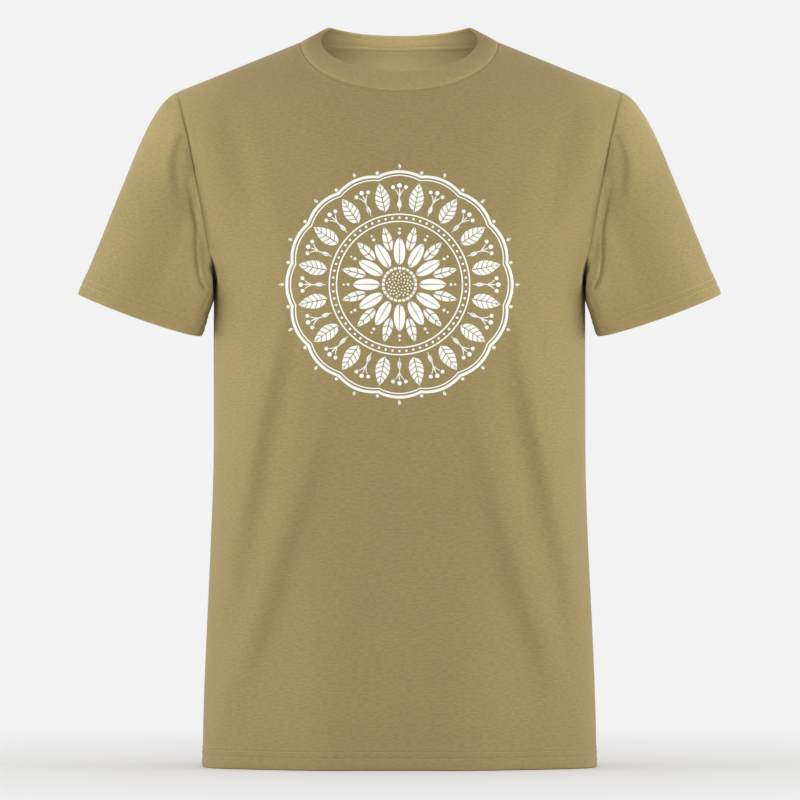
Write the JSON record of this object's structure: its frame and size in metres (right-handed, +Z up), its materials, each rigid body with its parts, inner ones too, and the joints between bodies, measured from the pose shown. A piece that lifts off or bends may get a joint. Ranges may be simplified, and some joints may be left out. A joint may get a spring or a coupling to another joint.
{
  "type": "short-sleeved t-shirt",
  "caption": "Short-sleeved crew-neck cotton T-shirt in its worn shape: hollow body, set-in sleeves with open cuffs, rib neckband and stitched hems, standing upright on its hem.",
  "frame": {"origin": "centre of the bounding box's base, in the plane of the hem, which the shirt stands on", "axes": "+Z up along the shirt's length, -Y out of the chest, +X towards the wearer's left"},
  "size_m": [0.632, 0.2355, 0.7281],
  "materials": {
    "jersey": "khaki cotton jersey, matt, fine vertical knit ribs",
    "rib_knit": "khaki one-by-one rib knit, matt",
    "tape": "khaki self-fabric neck tape, matt",
    "print_ink": null
  },
  "bodies": {
    "root": {"body_front": "jersey", "body_back": "jersey", "sleeve_left": "jersey", "sleeve_right": "jersey", "neckband": "rib_knit", "neck_tape": "tape", "hem_fold": "jersey", "cuff_fold_left": "jersey", "cuff_fold_right": "jersey"}
  },
  "joints": []
}
